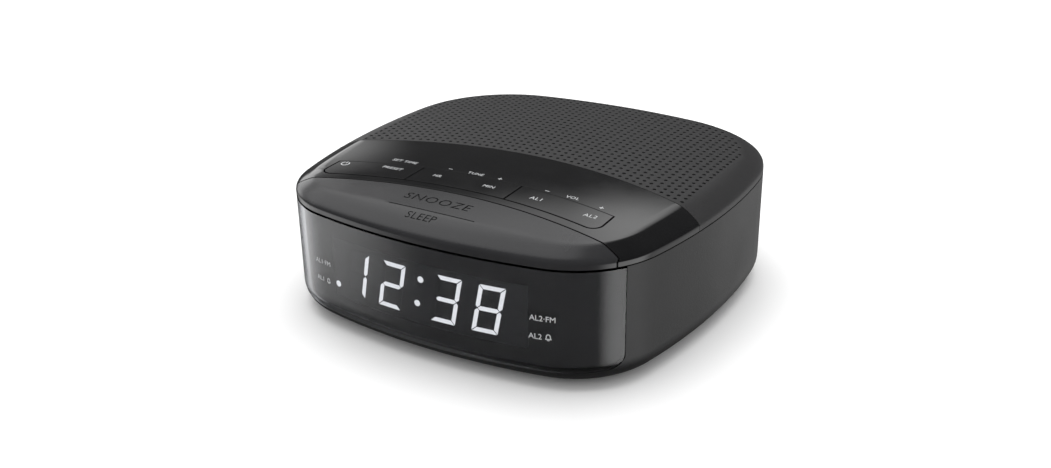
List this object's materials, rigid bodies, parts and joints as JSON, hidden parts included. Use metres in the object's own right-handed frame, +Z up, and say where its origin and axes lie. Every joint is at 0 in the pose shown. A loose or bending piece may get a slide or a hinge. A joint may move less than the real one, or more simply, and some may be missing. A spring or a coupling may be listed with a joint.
{
  "type": "clock radio",
  "caption": "Low rounded-square bedside clock radio with a tinted lens over large digits, a snooze bar, a row of rocking keys and a perforated speaker cover.",
  "frame": {"origin": "under the middle of the case, on the surface the feet stand on", "axes": "+Z up, the display faces -Y, +X is to the right of someone looking at the display"},
  "size_m": [0.134, 0.131, 0.0443],
  "materials": {
    "cabinet": "fine moulded texture",
    "cover": "fine spark texture",
    "snooze": "satin",
    "panel": "piano gloss",
    "lens": "tinted acrylic, polished",
    "mask": "matt black",
    "reflector": "matt dark grey",
    "lit": "white light, glowing",
    "unlit": "clear block, off",
    "board": "green solder mask",
    "switch": "moulded",
    "carrier": "natural white moulding",
    "screw": "zinc plated",
    "basket": "galvanised pressing",
    "magnet": "ferrite",
    "plate": "zinc plated",
    "cone": "pressed paper",
    "cap": "coated cloth",
    "coil": "enamelled copper winding",
    "surround": "soft rubber",
    "spider": "impregnated cloth",
    "foam": "foam",
    "can": "tinned",
    "chip": "moulded epoxy",
    "capacitor": "sleeved can",
    "transformer": "taped core",
    "connector": "moulded",
    "ribbon": "flat cable",
    "lead": "insulated wire",
    "holder": "moulded",
    "cell": "nickel plated",
    "contact": "plated strip",
    "grommet": "rubber",
    "foot": "rubber"
  },
  "bodies": {
    "radio": {"lower_cabinet": "cabinet", "front_lens": "lens", "display_bezel": "mask", "digit_reflector": "reflector", "lit_segments": "lit", "unlit_segments": "unlit", "display_pcb": "board", "control_panel": "panel", "key_carrier": "carrier", "key_pcb": "board", "tact_switches": "switch", "key_pcb_screws": "screw", "grille_cover": "cover", "speaker_basket": "basket", "speaker_top_plate": "plate", "speaker_magnet": "magnet", "speaker_pole": "plate", "speaker_gasket": "foam", "speaker_screws": "screw", "main_pcb": "board", "main_pcb_screws": "screw", "tuner_can": "can", "ic_chips": "chip", "capacitors": "capacitor", "transformer": "transformer", "board_connectors": "connector", "ribbon_cable": "ribbon", "speaker_leads": "lead", "coin_cell_holder": "holder", "coin_cell": "cell", "cell_contacts": "contact", "cord_grommet": "grommet", "aerial_grommet": "grommet", "rubber_feet": "foot", "case_screws": "screw"},
    "snooze": {"snooze_button": "snooze"},
    "key_left": {"key_power": "panel"},
    "key_middle": {"key_time": "panel"},
    "key_right": {"key_alarm": "panel"},
    "battery_cover": {"battery_door": "cabinet"},
    "speaker_diaphragm": {"speaker_cone": "cone", "dust_cap": "cap", "voice_coil": "coil", "surround": "surround", "spider": "spider"}
  },
  "joints": [
    {"name": "snooze_press", "type": "slide", "parent": "radio", "child": "snooze", "axis": [0, 0, -1], "range_m": [0, 0.0005], "stiffness_N_per_m": 400, "springref_m": -0.002},
    {"name": "key_left_rock", "type": "hinge", "parent": "radio", "child": "key_left", "pos_m": [-0.03675, -0.03661, 0.0388], "axis": [0, 1, 0], "range_deg": [-1.8, 1.8], "stiffness_Nm_per_rad": 0.15},
    {"name": "key_middle_rock", "type": "hinge", "parent": "radio", "child": "key_middle", "pos_m": [-0.00505, -0.03297, 0.0388], "axis": [0, 1, 0], "range_deg": [-1.8, 1.8], "stiffness_Nm_per_rad": 0.15},
    {"name": "key_right_rock", "type": "hinge", "parent": "radio", "child": "key_right", "pos_m": [0.0287, -0.03516, 0.0388], "axis": [0, 1, 0], "range_deg": [-1.8, 1.8], "stiffness_Nm_per_rad": 0.15},
    {"name": "battery_cover_lift", "type": "slide", "parent": "radio", "child": "battery_cover", "axis": [0, 0, -1], "range_m": [0, 0.012]},
    {"name": "diaphragm_travel", "type": "slide", "parent": "radio", "child": "speaker_diaphragm", "axis": [0, 0, 1], "range_m": [-0.0008, 0.0008], "stiffness_N_per_m": 1500, "deforming": ["surround", "spider"]}
  ]
}
